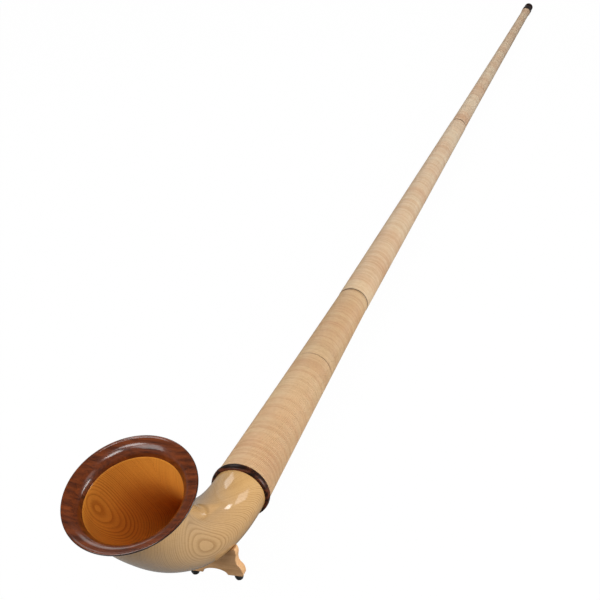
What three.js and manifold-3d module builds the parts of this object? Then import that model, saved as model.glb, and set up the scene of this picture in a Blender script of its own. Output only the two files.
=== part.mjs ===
// Alphorn in three sections. Its upturned spruce bell, glued from two halves, has a walnut rim and stands on a
// foot board. Its long conical tube is wound in flat cane and ends in a turned ring that holds the mouthpiece.
// Millimetres, +Z up, +X toward the mouthpiece, the floor at z = 0, the origin under the middle of the whole.
// The horn is built along its tube's axis, from the neck ring at 0, and then laid down on its foot and end ring.

import * as THREE from 'three';
import { mergeVertices } from 'three/addons/utils/BufferGeometryUtils.js';
import Module from 'manifold-3d';

const wasm = await Module();
wasm.setup();

// Clearances, and how far a cutter runs past what it cuts
const SEAT_GAP = 0.3;
const SLIP = 0.3;
const CUT_OVERRUN = 2;
const WELD = 0.0003;

// Sides of a full turn, and steps along each part
const SIDES = 36;
const RIM_SIDES = 48;
const SMALL_SIDES = 20;
const TUBE_STEPS = 4;
const BELL_STEPS = 14;

// Tube lengths along the axis, outer radii over the cane, and how far the tube is drawn in between them
const BELL_TUBE_LENGTH = 780;
const MIDDLE_LENGTH = 1143;
const HAND_LENGTH = 1135;
const SPLICE_PLACE = 460;
const SHORTEST_STEP = 3;
const NECK_TUBE_R = 59.9;
const BELL_TUBE_END_R = 38.4;
const BELL_TUBE_SAG = 0.75;
const MIDDLE_WIDE_R = 39.2;
const MIDDLE_NARROW_R = 24.9;
const MIDDLE_SAG = 0.15;
const HAND_WIDE_R = 24.1;
const HAND_NARROW_R = 14;
const HAND_SAG = 0.65;
const MOUTH_SWELL = 2.2;
const MOUTH_SWELL_LENGTH = 24;

// Layers of the tube wall, from the cane inward
const CANE_THICKNESS = 1.3;
const WOOD_OVER_SOCKET = 2.4;
const SOCKET_WALL = 1.4;
const TENON_WALL = 2.8;

// Tenons, and the two seal rings in grooves on each
const TENON_REACH = 70;
const TENON_ROOT = 55;
const SEAL_THICKNESS = 1.6;
const SEAL_FRONT_PLACE = 14;
const SEAL_BACK_PLACE = 46;

// Bell: the middle of its lip lies this far back from the neck ring and this high over the tube's axis
const BELL_REACH = 409.5;
const BELL_RISE = 299.5;
const BELL_TURN = THREE.MathUtils.degToRad(71.8);
const BEND_RUN_IN = 193;
const BEND_RUN_OUT = 158;
const BELL_NECK_R = 57.3;
const BELL_MOUTH_R = 97.5;
const BELL_WALL_AT_RIM = 5;
// Share of the growth from neck to mouth that the bell has reached at even steps along its middle line
const BELL_SWELL_SHARES = [0, 0.06, 0.17, 0.29, 0.56, 1];

// Rim: over all, and its section from the inner edge over the lip and back under
const RIM_R = 125.1;
const RIM_HEIGHT = 22;
// Each point: share of the width from the bell's bore to the outer edge, share of the height
const RIM_SECTION_SHARES = [
  [0, 0], [0.04, 0.14], [0.13, 0.4], [0.28, 0.66], [0.5, 0.84], [0.74, 0.92], [0.84, 0.96], [0.92, 1],
  [0.985, 0.97], [1, 0.91], [0.985, 0.83], [0.93, 0.76], [0.8, 0.68], [0.55, 0.5], [0.34, 0.28], [0.19, 0],
];

// Neck ring, from its bell side to its cane side
const NECK_RING_LENGTH = 15.2;
const NECK_RING_R = 64.2;
// Each point: share of the thickness from the hole to the outer radius, share of the length
const NECK_RING_SECTION_SHARES = [[0, 0], [0.4, 0.03], [0.85, 0.25], [1, 0.55], [0.98, 0.88], [0.8, 1], [0, 1]];

// Foot board, its rubber feet and their screws
const FOOT_PLACE = 171;
const AXIS_HEIGHT = 88;
const BOARD_THICKNESS = 17;
const BOARD_HALF_WIDTH = 62;
const BOARD_HEIGHT = 70;
const ARCH_HALF_WIDTH = 27;
const ARCH_RISE = 13.5;
// Each point of a flank: share of the half width, share of the height
const BOARD_FLANK_SHARES = [[0.93, 0], [0.98, 0.03], [1, 0.1], [0.995, 0.2], [0.965, 0.3], [0.88, 0.4],
  [0.84, 0.5], [0.845, 0.63], [0.88, 0.75], [0.9, 0.86], [0.87, 1]];
const RUBBER_SPACING = 96;
const RUBBER_HEIGHT = 11;
const RUBBER_TOP_R = 9;
const RUBBER_SOLE_R = 7.3;
const RECESS_DEPTH = 5.5;
const RECESS_R = 4.2;
const SCREW_HEAD_R = 3.4;
const SCREW_HEAD_HEIGHT = 1.8;
const SCREW_R = 1.6;
const SCREW_BITE = 12;

// End ring round the mouth end
const END_RING_R = 16.8;
const END_RING_LENGTH = 29;
const END_RING_LIP = 5;
// The horn rests on the ring's widest band, whose far end lies at this share of its length
const END_RING_BAND_SHARE = 0.86;
// Each point of its outside: share of the outer radius, share of the length
const END_RING_SECTION_SHARES = [[0.88, 1], [0.97, 0.95], [1, END_RING_BAND_SHARE], [1, 0.25], [0.985, 0.07],
  [0.965, 0]];

// Mouthpiece: its shank in the horn, and its head outside the ring
const SHANK_LENGTH = 46;
const SHANK_TIP_R = 5.4;
const SHANK_ROOT_R = 6.4;
const BACKBORE_R = 3.6;
const THROAT_R = 2.4;
const HEAD_LENGTH = 33;
const HEAD_R = 15.6;
const CUP_R = 9;
const CUP_DEPTH = 20;
// Each point of the head's outside: share of the head's radius, share of its length
const HEAD_SHARES = [[0.86, 0], [0.9, 0.06], [0.87, 0.16], [0.84, 0.28], [0.86, 0.44], [0.92, 0.62], [0.985, 0.77],
  [1, 0.88], [0.97, 0.96], [0.88, 1]];
// Each point of the cup, from its edge inward: share of the cup's radius, share of its depth
const CUP_SHARES = [[1, 0.03], [0.93, 0.3], [0.72, 0.68], [0.4, 0.93]];

// Places and radii worked out from the sizes
const HALF_GAP = SEAT_GAP / 2;
const FIRST_JOINT = BELL_TUBE_LENGTH;
const SECOND_JOINT = FIRST_JOINT + MIDDLE_LENGTH;
const MOUTH_END = SECOND_JOINT + HAND_LENGTH;
const END_RING_FACE = MOUTH_END + END_RING_LENGTH;
const SWELL_START = MOUTH_END - MOUTH_SWELL_LENGTH;
const BELL_TUBE = { from: 0, to: FIRST_JOINT, wide: NECK_TUBE_R, narrow: BELL_TUBE_END_R, sag: BELL_TUBE_SAG };
const MIDDLE = {
  from: FIRST_JOINT, to: SECOND_JOINT, wide: MIDDLE_WIDE_R, narrow: MIDDLE_NARROW_R, sag: MIDDLE_SAG,
};
const HAND = { from: SECOND_JOINT, to: MOUTH_END, wide: HAND_WIDE_R, narrow: HAND_NARROW_R, sag: HAND_SAG };
const WALL_STACK = CANE_THICKNESS + SEAT_GAP + WOOD_OVER_SOCKET + SEAT_GAP + SOCKET_WALL + SLIP + TENON_WALL;
const SOCKET_DEPTH = TENON_REACH + SEAT_GAP;
const NECK_SEAT_R = BELL_NECK_R + SEAT_GAP;
const BELL_BORE_AT_RIM = BELL_MOUTH_R - BELL_WALL_AT_RIM;
const BOARD_FLOOR = RUBBER_HEIGHT + SEAT_GAP;
const BELL_AXIS = new THREE.Vector3(-Math.cos(BELL_TURN), 0, Math.sin(BELL_TURN));
const BELL_LIP = new THREE.Vector3(-BELL_REACH, 0, BELL_RISE);
const BELL_END = BELL_LIP.clone().addScaledVector(BELL_AXIS, -RIM_HEIGHT - SEAT_GAP);
const BEND = new THREE.CubicBezierCurve3(
  new THREE.Vector3(-NECK_RING_LENGTH, 0, 0),
  new THREE.Vector3(-BEND_RUN_IN, 0, 0),
  BELL_END.clone().addScaledVector(BELL_AXIS, -BEND_RUN_OUT),
  BELL_END,
);
const BELL_SWELL = new THREE.SplineCurve(
  BELL_SWELL_SHARES.map((share, i) => new THREE.Vector2(i / (BELL_SWELL_SHARES.length - 1), share)),
);
const UP = new THREE.Vector3(0, 0, 1);

// The tube leans down to the mouth end by this angle, so that rubber feet and end ring share the floor
const END_RING_REST = MOUTH_END + END_RING_BAND_SHARE * END_RING_LENGTH;
const LEAN = Math.atan2(AXIS_HEIGHT - END_RING_R, FOOT_PLACE + END_RING_REST);

const FINISHES = {
  spruce: { color: 0xd9b878, roughness: 0.25, metalness: 0 },
  coreWood: { color: 0xd2ae74, roughness: 0.6, metalness: 0 },
  walnut: { color: 0x6a3420, roughness: 0.25, metalness: 0 },
  darkWalnut: { color: 0x3a1c10, roughness: 0.35, metalness: 0 },
  cane: { color: 0xd3b287, roughness: 0.5, metalness: 0 },
  footWood: { color: 0xb07c50, roughness: 0.45, metalness: 0 },
  rubber: { color: 0x141414, roughness: 0.8, metalness: 0 },
  aluminium: { color: 0xc8cacc, roughness: 0.35, metalness: 1 },
  seal: { color: 0x1c1c1e, roughness: 0.6, metalness: 0 },
  steel: { color: 0xa8a8aa, roughness: 0.35, metalness: 1 },
};

function piece(name, geometry, finish) {
  const mesh = new THREE.Mesh(outward(geometry), new THREE.MeshStandardMaterial(FINISHES[finish]));
  mesh.name = name;
  return mesh;
}

// Turns a closed geometry's faces outward if its signed volume says that they point in.
function outward(geometry) {
  const flat = geometry.index ? geometry.toNonIndexed() : geometry;
  const place = flat.getAttribute('position');
  const [a, b, c] = [new THREE.Vector3(), new THREE.Vector3(), new THREE.Vector3()];
  let volume = 0;
  for (let i = 0; i < place.count; i += 3) {
    a.fromBufferAttribute(place, i);
    b.fromBufferAttribute(place, i + 1);
    c.fromBufferAttribute(place, i + 2);
    volume += a.dot(b.cross(c));
  }
  const merged = merge(flat);
  if (volume < 0) {
    const turned = Array.from(merged.index.array);
    for (let i = 0; i < turned.length; i += 3) {
      [turned[i + 1], turned[i + 2]] = [turned[i + 2], turned[i + 1]];
    }
    merged.setIndex(turned);
  }
  return merged;
}

function merge(geometry) {
  const bare = new THREE.BufferGeometry().setAttribute('position', geometry.getAttribute('position').clone());
  if (geometry.index) {
    bare.setIndex(geometry.index.clone());
  }
  return mergeVertices(bare, WELD);
}

// A closed [radius, place] section turned about the X axis, with a corner of each facet ring straight up.
function turned(section, sides) {
  const profile = [...section, section[0]].map(([radius, along]) => new THREE.Vector2(radius, along));
  return new THREE.LatheGeometry(profile, sides).rotateZ(-Math.PI / 2);
}

// Half of a turned piece, on one side of the plane of the bend. Each outline point has a centre on the middle
// line, the direction up from it and a radius, so the middle line may curve.
function halfShell(outline, side) {
  const half = SIDES / 2;
  const points = [];
  for (const { centre, up, radius } of outline) {
    const seam = Math.asin(HALF_GAP / radius);
    for (let i = 0; i <= half; i += 1) {
      const angle = THREE.MathUtils.clamp((Math.PI * i) / half, seam, Math.PI - seam);
      const point = centre.clone().addScaledVector(up, radius * Math.cos(angle));
      point.y += side * radius * Math.sin(angle);
      points.push(point);
    }
  }
  const row = half + 1;
  const index = [];
  outline.forEach((_, p) => {
    const q = (p + 1) % outline.length;
    for (let i = 0; i < half; i += 1) {
      const [a, b] = [p * row + i, q * row + i];
      index.push(a, b, b + 1, a, b + 1, a + 1);
    }
  });
  index.push(...seamFace(outline, points, row, 0, -1), ...seamFace(outline, points, row, half, 1));
  return new THREE.BufferGeometry().setFromPoints(points).setIndex(index);
}

// The flat face of a half shell at its glue seam, wound with the outline or against it.
function seamFace(outline, points, row, column, winding) {
  const contour = outline.map((_, p) => new THREE.Vector2(points[p * row + column].x, points[p * row + column].z));
  const area = Math.sign(THREE.ShapeUtils.area(contour));
  return THREE.ShapeUtils.triangulateShape(contour, []).flatMap((corners) => {
    const ahead = Math.sign(THREE.ShapeUtils.area(corners.map((i) => contour[i]))) * area * winding > 0;
    const [a, b, c] = corners.map((i) => i * row + column);
    return ahead ? [a, b, c] : [a, c, b];
  });
}

function toSolid(geometry) {
  const merged = outward(geometry);
  const vertProperties = new Float32Array(merged.getAttribute('position').array);
  return new wasm.Manifold(new wasm.Mesh({ numProp: 3, vertProperties, triVerts: new Uint32Array(merged.index.array) }));
}

function fromSolid(solid) {
  const { vertProperties, triVerts } = solid.getMesh();
  return new THREE.BufferGeometry()
    .setAttribute('position', new THREE.BufferAttribute(vertProperties, 3))
    .setIndex(new THREE.BufferAttribute(triVerts, 1));
}

// Outer radius over the cane, radius of the wood under it, and bore, at a place along a section of the tube
function caneRadius(section, place) {
  const share = THREE.MathUtils.clamp((place - section.from) / (section.to - section.from), 0, 1);
  const swell = MOUTH_SWELL * THREE.MathUtils.clamp((place - SWELL_START) / MOUTH_SWELL_LENGTH, 0, 1);
  return THREE.MathUtils.lerp(section.wide, section.narrow, share) - 4 * section.sag * share * (1 - share) + swell;
}

const woodRadius = (section, place) => caneRadius(section, place) - CANE_THICKNESS - SEAT_GAP;

const boreRadius = (section, place) => caneRadius(section, Math.min(place, SWELL_START)) - WALL_STACK;

// A joint lies at the narrow end of the section below it, whose bore its tenon carries on
const tenonBore = (below) => boreRadius(below, below.to);

const tenonRadius = (below) => tenonBore(below) + TENON_WALL;

const socketHoleRadius = (below) => tenonRadius(below) + SLIP + SOCKET_WALL + SEAT_GAP;

// Places along a section from one to another, with the section's steps in between
function placesBetween(section, from, to) {
  const steps = Array.from({ length: TUBE_STEPS }, (_, k) =>
    THREE.MathUtils.lerp(section.from, section.to, k / TUBE_STEPS));
  const inside = [...steps, SWELL_START].filter((place) => place > from + SHORTEST_STEP && place < to - SHORTEST_STEP);
  return [from, ...inside, to];
}

function cane(name, section, from, to) {
  const places = placesBetween(section, from + HALF_GAP, to - HALF_GAP);
  const outside = places.map((s) => [caneRadius(section, s), s]);
  const inside = places.map((s) => [caneRadius(section, s) - CANE_THICKNESS, s]).reverse();
  return piece(name, turned([...outside, ...inside], SIDES), 'cane');
}

// The wooden tube under the cane, as two halves. Each end is bored out to a depth, straight or tapered.
function tubeHalves(name, section, end, wideBore, narrowBore) {
  const from = section.from + HALF_GAP;
  const outside = placesBetween(section, from, end).map((s) => [s, woodRadius(section, s)]);
  const boreStart = from + (wideBore ? wideBore.depth : 0);
  const boreEnd = end - narrowBore.depth;
  const inside = [
    ...(wideBore ? [[from, wideBore.radius], [boreStart, wideBore.radius]] : []),
    ...placesBetween(section, boreStart, boreEnd).map((s) => [s, boreRadius(section, s)]),
    [boreEnd, narrowBore.bottomRadius],
    [end, narrowBore.radius],
  ].reverse();
  const outline = [...outside, ...inside].map(([s, radius]) => ({
    centre: new THREE.Vector3(s, 0, 0), up: UP, radius,
  }));
  return bothHalves(name, outline, 'coreWood');
}

function bothHalves(name, outline, finish) {
  return [piece(`${name}_half_left`, halfShell(outline, 1), finish),
    piece(`${name}_half_right`, halfShell(outline, -1), finish)];
}

const socketBore = (below) => ({
  depth: SOCKET_DEPTH + SEAT_GAP, radius: socketHoleRadius(below), bottomRadius: socketHoleRadius(below),
});

const tenonSeat = (below) => ({ depth: TENON_ROOT + HALF_GAP, radius: tenonRadius(below) + SEAT_GAP });

// Metal sleeve in the narrow end of a section, into which the next section's tenon slides
function socketSleeve(name, below) {
  const inner = tenonRadius(below) + SLIP;
  const outer = inner + SOCKET_WALL;
  const [from, to] = [below.to - SOCKET_DEPTH, below.to - HALF_GAP];
  return piece(name, turned([[inner, from], [outer, from], [outer, to], [inner, to]], SIDES), 'aluminium');
}

function sealSeats(below) {
  const outer = tenonRadius(below) + SLIP / 2;
  return [SEAL_FRONT_PLACE, SEAL_BACK_PLACE].map((place) => ({
    middle: below.to - TENON_REACH + place, outer, inner: outer - SEAL_THICKNESS,
  }));
}

function tenonSleeve(name, below) {
  const outer = tenonRadius(below);
  const [from, to] = [below.to - TENON_REACH, below.to + TENON_ROOT];
  const section = [[tenonBore(below), from], [outer, from]];
  for (const { middle, inner } of sealSeats(below)) {
    const halfGroove = SEAL_THICKNESS / 2 + SEAT_GAP;
    const floor = inner - SEAT_GAP;
    section.push([outer, middle - halfGroove], [floor, middle - halfGroove]);
    section.push([floor, middle + halfGroove], [outer, middle + halfGroove]);
  }
  section.push([outer, to], [tenonBore(below), to]);
  return piece(name, turned(section, SIDES), 'aluminium');
}

function sealRings(names, below) {
  return sealSeats(below).map(({ middle, outer, inner }, i) => {
    const half = SEAL_THICKNESS / 2;
    const centre = (outer + inner) / 2;
    const section = [[outer, middle], [centre, middle - half], [inner, middle], [centre, middle + half]];
    return piece(names[i], turned(section, SIDES), 'seal');
  });
}

// Bell: stations on its middle line, with the radius of its outside and of its bore
function bellStations(clearance) {
  const neckWall = BELL_NECK_R - boreRadius(BELL_TUBE, BELL_TUBE.from);
  const stations = [0, ...Array.from({ length: BELL_STEPS + 1 }, (_, i) => i / BELL_STEPS)].map((share, i) => {
    const centre = i ? BEND.getPointAt(share) : new THREE.Vector3(-HALF_GAP, 0, 0);
    const ahead = BEND.getTangentAt(share);
    const up = new THREE.Vector3(ahead.z, 0, -ahead.x);
    const swell = BELL_SWELL.getPoint(share).y;
    const outer = THREE.MathUtils.lerp(BELL_NECK_R, BELL_MOUTH_R, swell);
    const wall = THREE.MathUtils.lerp(neckWall, BELL_WALL_AT_RIM, share);
    return { centre, up, outer: outer + clearance, bore: outer - wall };
  });
  return stations;
}

function bellHalves() {
  const stations = bellStations(0);
  const outside = stations.map(({ centre, up, outer }) => ({ centre, up, radius: outer }));
  const inside = stations.map(({ centre, up, bore }) => ({ centre, up, radius: bore })).reverse();
  return bothHalves('bell', [...outside, ...inside], 'spruce');
}

// The bell's outside as one closed body, grown by the seat's gap, to cut the foot board's saddle
function bellCutter() {
  const stations = bellStations(SEAT_GAP);
  const points = [];
  for (const { centre, up, outer } of stations) {
    for (let i = 0; i < SIDES; i += 1) {
      const angle = (2 * Math.PI * i) / SIDES;
      const point = centre.clone().addScaledVector(up, outer * Math.cos(angle));
      point.y += outer * Math.sin(angle);
      points.push(point);
    }
  }
  const index = [];
  for (let p = 0; p < stations.length - 1; p += 1) {
    for (let i = 0; i < SIDES; i += 1) {
      const [a, b] = [p * SIDES + i, p * SIDES + ((i + 1) % SIDES)];
      index.push(a, b, b + SIDES, a, b + SIDES, a + SIDES);
    }
  }
  const last = (stations.length - 1) * SIDES;
  for (let i = 1; i < SIDES - 1; i += 1) {
    index.push(0, i + 1, i, last, last + i, last + i + 1);
  }
  return new THREE.BufferGeometry().setFromPoints(points).setIndex(index);
}

function bellRim() {
  const width = RIM_R - BELL_BORE_AT_RIM;
  const section = RIM_SECTION_SHARES.map(([across, up]) => [BELL_BORE_AT_RIM + across * width, (up - 1) * RIM_HEIGHT]);
  const rim = piece('bell_rim', turned(section, RIM_SIDES), 'walnut');
  rim.position.copy(BELL_LIP);
  rim.rotation.y = BELL_TURN - Math.PI;
  return rim;
}

function neckRing() {
  const section = NECK_RING_SECTION_SHARES.map(([across, along]) => [
    THREE.MathUtils.lerp(NECK_SEAT_R, NECK_RING_R, across), (along - 1) * NECK_RING_LENGTH]);
  return piece('neck_ring', turned(section, SIDES), 'darkWalnut');
}

const receiverRadius = (place) => SLIP
  + THREE.MathUtils.lerp(SHANK_ROOT_R, SHANK_TIP_R, (END_RING_FACE - place) / SHANK_LENGTH);

function endRing() {
  const hole = receiverRadius(END_RING_FACE) + SLIP;
  const seat = woodRadius(HAND, MOUTH_END) + SEAT_GAP;
  const shoulder = END_RING_FACE - END_RING_LIP;
  const outside = END_RING_SECTION_SHARES.map(([across, along]) => [
    END_RING_R * across, MOUTH_END + HALF_GAP + along * (END_RING_LENGTH - HALF_GAP)]);
  const inside = [[seat, MOUTH_END + HALF_GAP], [seat, shoulder], [hole, shoulder], [hole, END_RING_FACE]];
  return piece('mouth_end_ring', turned([...outside, ...inside], SIDES), 'darkWalnut');
}

function mouthpiece() {
  const root = END_RING_FACE + SEAT_GAP;
  const tip = END_RING_FACE - SHANK_LENGTH;
  const outside = HEAD_SHARES.map(([across, along]) => [HEAD_R * across, root + along * HEAD_LENGTH]);
  const edge = root + HEAD_LENGTH;
  const cup = CUP_SHARES.map(([across, along]) => [CUP_R * across, edge - along * CUP_DEPTH]);
  const bore = [[THROAT_R, edge - CUP_DEPTH], [THROAT_R, root], [BACKBORE_R, tip]];
  const shank = [[SHANK_TIP_R, tip], [SHANK_ROOT_R, root]];
  return piece('mouthpiece', turned([...outside, ...cup, ...bore, ...shank], SIDES), 'darkWalnut');
}

function bellSection() {
  return [
    ...bellHalves(),
    bellRim(),
    neckRing(),
    ...tubeHalves('bell_tube', BELL_TUBE, FIRST_JOINT - HALF_GAP, null, socketBore(BELL_TUBE)),
    cane('bell_cane_lower', BELL_TUBE, 0, SPLICE_PLACE),
    cane('bell_cane_upper', BELL_TUBE, SPLICE_PLACE, FIRST_JOINT),
    socketSleeve('bell_socket_sleeve', BELL_TUBE),
  ];
}

function middleSection() {
  return [
    ...tubeHalves('middle_tube', MIDDLE, SECOND_JOINT - HALF_GAP, tenonSeat(BELL_TUBE), socketBore(MIDDLE)),
    cane('middle_cane', MIDDLE, FIRST_JOINT, SECOND_JOINT),
    tenonSleeve('middle_tenon_sleeve', BELL_TUBE),
    ...sealRings(['middle_seal_front', 'middle_seal_back'], BELL_TUBE),
    socketSleeve('middle_socket_sleeve', MIDDLE),
  ];
}

function handSection() {
  const end = END_RING_FACE - END_RING_LIP - SEAT_GAP;
  const bottom = END_RING_FACE - SHANK_LENGTH - SEAT_GAP;
  const receiver = {
    depth: end - bottom, radius: receiverRadius(end), bottomRadius: receiverRadius(bottom),
  };
  return [
    ...tubeHalves('hand_tube', HAND, end, tenonSeat(MIDDLE), receiver),
    cane('hand_cane', HAND, SECOND_JOINT, MOUTH_END),
    tenonSleeve('hand_tenon_sleeve', MIDDLE),
    ...sealRings(['hand_seal_front', 'hand_seal_back'], MIDDLE),
    endRing(),
  ];
}

// Foot board as an outline across the horn, arched below, cut by the bell above and drilled for the screws
function footBoard(foot, horn) {
  const flank = BOARD_FLANK_SHARES.map(([across, up]) =>
    new THREE.Vector2(BOARD_HALF_WIDTH * across, BOARD_FLOOR + BOARD_HEIGHT * up));
  const mirrored = flank.map(({ x, y }) => new THREE.Vector2(-x, y)).reverse();
  const outline = new THREE.Shape([...flank, ...mirrored]);
  outline.lineTo(-ARCH_HALF_WIDTH, BOARD_FLOOR);
  const arch = new THREE.EllipseCurve(0, BOARD_FLOOR, ARCH_HALF_WIDTH, ARCH_RISE, Math.PI, 0, true);
  arch.getPoints(SMALL_SIDES / 2).slice(1).forEach(({ x, y }) => outline.lineTo(x, y));
  const blank = new THREE.ExtrudeGeometry(outline, { depth: BOARD_THICKNESS, bevelEnabled: false });
  blank.translate(0, 0, -BOARD_THICKNESS / 2);
  const [across, up, along] = [new THREE.Vector3(0, 1, 0), UP, new THREE.Vector3(1, 0, 0)];
  blank.applyMatrix4(new THREE.Matrix4().makeBasis(across, up, along));
  const saddle = bellCutter().applyMatrix4(horn.matrixWorld).applyMatrix4(foot.matrixWorld.clone().invert());
  let board = toSolid(blank).subtract(toSolid(saddle));
  for (const side of [1, -1]) {
    board = board.subtract(toSolid(pilotHole().translate(0, side * RUBBER_SPACING / 2, 0)));
  }
  return piece('foot_board', fromSolid(board), 'footWood');
}

// A section turned about the Z axis, from [radius, height] points
const upright = (section) => turned(section, SMALL_SIDES).rotateY(-Math.PI / 2);

function pilotHole() {
  const [radius, top] = [SCREW_R + SEAT_GAP, BOARD_FLOOR + SCREW_BITE + SEAT_GAP];
  const bottom = BOARD_FLOOR - CUT_OVERRUN;
  return upright([[0, bottom], [radius, bottom], [radius, top], [0, top]]);
}

function rubberFoot(name, side) {
  const hole = SCREW_R + SEAT_GAP;
  const shoulder = RUBBER_HEIGHT / 2;
  const section = [[RECESS_R, 0], [RUBBER_SOLE_R, 0], [RUBBER_TOP_R, shoulder], [RUBBER_TOP_R, RUBBER_HEIGHT],
    [hole, RUBBER_HEIGHT], [hole, RECESS_DEPTH], [RECESS_R, RECESS_DEPTH]];
  const foot = piece(name, upright(section), 'rubber');
  foot.position.y = side * RUBBER_SPACING / 2;
  return foot;
}

function footScrew(name, side) {
  const seat = RECESS_DEPTH - SEAT_GAP;
  const under = seat - SCREW_HEAD_HEIGHT;
  const tip = BOARD_FLOOR + SCREW_BITE;
  const section = [[0, under], [SCREW_HEAD_R, under], [SCREW_HEAD_R, seat], [SCREW_R, seat], [SCREW_R, tip], [0, tip]];
  const screw = piece(name, upright(section), 'steel');
  screw.position.y = side * RUBBER_SPACING / 2;
  return screw;
}

function footPieces(foot, horn) {
  return [
    footBoard(foot, horn),
    rubberFoot('foot_rubber_left', 1),
    rubberFoot('foot_rubber_right', -1),
    footScrew('foot_screw_left', 1),
    footScrew('foot_screw_right', -1),
  ];
}

// The horn is laid down with the point between its rubber soles on the floor, and the foot is upright there.
function assemble() {
  const horn = new THREE.Group();
  horn.rotation.y = LEAN;
  horn.position.z = AXIS_HEIGHT * Math.cos(LEAN) - FOOT_PLACE * Math.sin(LEAN);
  const foot = new THREE.Group();
  foot.position.x = -FOOT_PLACE * Math.cos(LEAN) - AXIS_HEIGHT * Math.sin(LEAN);
  horn.updateMatrixWorld(true);
  foot.updateMatrixWorld(true);
  foot.add(...footPieces(foot, horn));
  horn.add(...bellSection(), ...middleSection(), ...handSection(), mouthpiece());
  const standing = new THREE.Group();
  standing.add(horn, foot);
  standing.updateMatrixWorld(true);
  const box = new THREE.Box3().setFromObject(standing, true);
  standing.position.x = -(box.min.x + box.max.x) / 2;
  const whole = new THREE.Group();
  whole.add(standing);
  return whole;
}

const group = assemble();
export default group;
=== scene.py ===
from math import cos, dist, pi, radians, sin, tau

import bmesh
import bpy
from bpy.types import Operator, Panel, PropertyGroup
from mathutils import Matrix, Vector
from mathutils.bvhtree import BVHTree


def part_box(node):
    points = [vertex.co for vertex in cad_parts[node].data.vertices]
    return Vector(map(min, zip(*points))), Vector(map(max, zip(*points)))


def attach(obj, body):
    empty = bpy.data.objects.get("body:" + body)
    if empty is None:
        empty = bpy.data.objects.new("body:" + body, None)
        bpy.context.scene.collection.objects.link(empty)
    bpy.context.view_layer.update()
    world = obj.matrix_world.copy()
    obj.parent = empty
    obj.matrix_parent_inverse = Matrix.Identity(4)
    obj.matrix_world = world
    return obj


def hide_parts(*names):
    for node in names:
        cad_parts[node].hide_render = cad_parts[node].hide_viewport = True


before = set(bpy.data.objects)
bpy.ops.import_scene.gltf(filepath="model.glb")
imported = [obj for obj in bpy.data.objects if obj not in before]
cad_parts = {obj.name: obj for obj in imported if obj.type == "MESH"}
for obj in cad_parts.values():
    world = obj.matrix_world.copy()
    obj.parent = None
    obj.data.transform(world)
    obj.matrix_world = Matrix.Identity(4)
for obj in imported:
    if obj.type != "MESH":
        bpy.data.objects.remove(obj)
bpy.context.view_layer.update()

bl_info = {
    "name": "Alphorn",
    "version": (1, 0, 0),
    "blender": (4, 5, 0),
    "location": "View3D > Sidebar > Alphorn",
    "description": "Builds a cane wound wooden alphorn over its packed frame, piece by piece",
    "category": "Add Mesh",
}

# Kinds of node that are used often
MATH, VECTOR_MATH, RANGE, MIX = "ShaderNodeMath", "ShaderNodeVectorMath", "ShaderNodeMapRange", "ShaderNodeMix"
NOISE, WHITE_NOISE = "ShaderNodeTexNoise", "ShaderNodeTexWhiteNoise"
SPLIT, JOIN = "ShaderNodeSeparateXYZ", "ShaderNodeCombineXYZ"

MM = 0.001

# The horn's own axes: x along the tube from the neck ring, z up, leaning down to the mouth end
LEAN = 0.021878
NECK = Vector((-1.298956, 0.0, 0.084238))
HORN = Matrix.Translation(NECK) @ Matrix.Rotation(LEAN, 4, "Y")

# Places along the tube, in metres from the neck ring
SPLICE = 0.460
FIRST_JOINT = 0.780
SECOND_JOINT = 1.923
MOUTH_END = 3.058
SWELL_START = MOUTH_END - 0.024
SWELL = 0.0022

# Tube sections: where they start and end, outer radius at both ends, and how far the taper is drawn in
BELL_TUBE = (0.0, FIRST_JOINT, 0.0599, 0.0384, 0.00075)
MIDDLE_TUBE = (FIRST_JOINT, SECOND_JOINT, 0.0392, 0.0249, 0.00015)
HAND_TUBE = (SECOND_JOINT, MOUTH_END, 0.0241, 0.0140, 0.00065)
# Wood and cane together, from the bore to the outside
WALL_STACK = 0.0088
# Slack between turned pieces that meet, and how far each winding stays inside its length
SLACK = 0.00015
CANE_SLACK = 0.0002

# Metal sleeves: walls of tenon and socket, the gap they slide in, and the broken edges at their ends
TENON_WALL, SOCKET_WALL, SLIDE_GAP, BROKEN_EDGE = 0.0028, 0.0014, 0.0003, 0.0004
# How deep the socket is, how far the tenon reaches into it, and how far it reaches into its own section
SOCKET_DEPTH, TENON_DEPTH, TENON_ROOT = 0.0703, 0.070, 0.055
# Seal rings: their places from the tenon's front, radius of the rubber, how far it stands proud, and its groove
SEAL_PLACES = (0.014, 0.046)
SEAL_R, SEAL_PROUD, GROOVE_ROOM, GROOVE_HALF = 0.0008, 0.00015, 0.0003, 0.0011

# Distance between the two rubber feet
FOOT_SPACING = 0.096

# Bell: direction of the mouth's axis, its lip, radii at both ends and wall at the rim
BELL_TURN = radians(71.8)
BELL_AXIS = Vector((-cos(BELL_TURN), 0.0, sin(BELL_TURN)))
BELL_LIP = Vector((-0.4095, 0.0, 0.2995))
BELL_LENGTH_IN_RIM = 0.0223
NECK_RING_LENGTH = 0.0152
BELL_NECK_R = 0.0573
BELL_MOUTH_R = 0.0975
WALL_AT_RIM = 0.005
# The bore's eased edge, half the seam, and how far rim and mouth ring stay inside the CAD box
EASED, SEAM, RIM_BACK, MOUTH_BACK = 0.0012, 0.00002, 0.00012, 0.00001
# How far the bell has grown, at even shares of its middle line
SWELL_SHARES = (0.0, 0.06, 0.17, 0.29, 0.56, 1.0)

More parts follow.
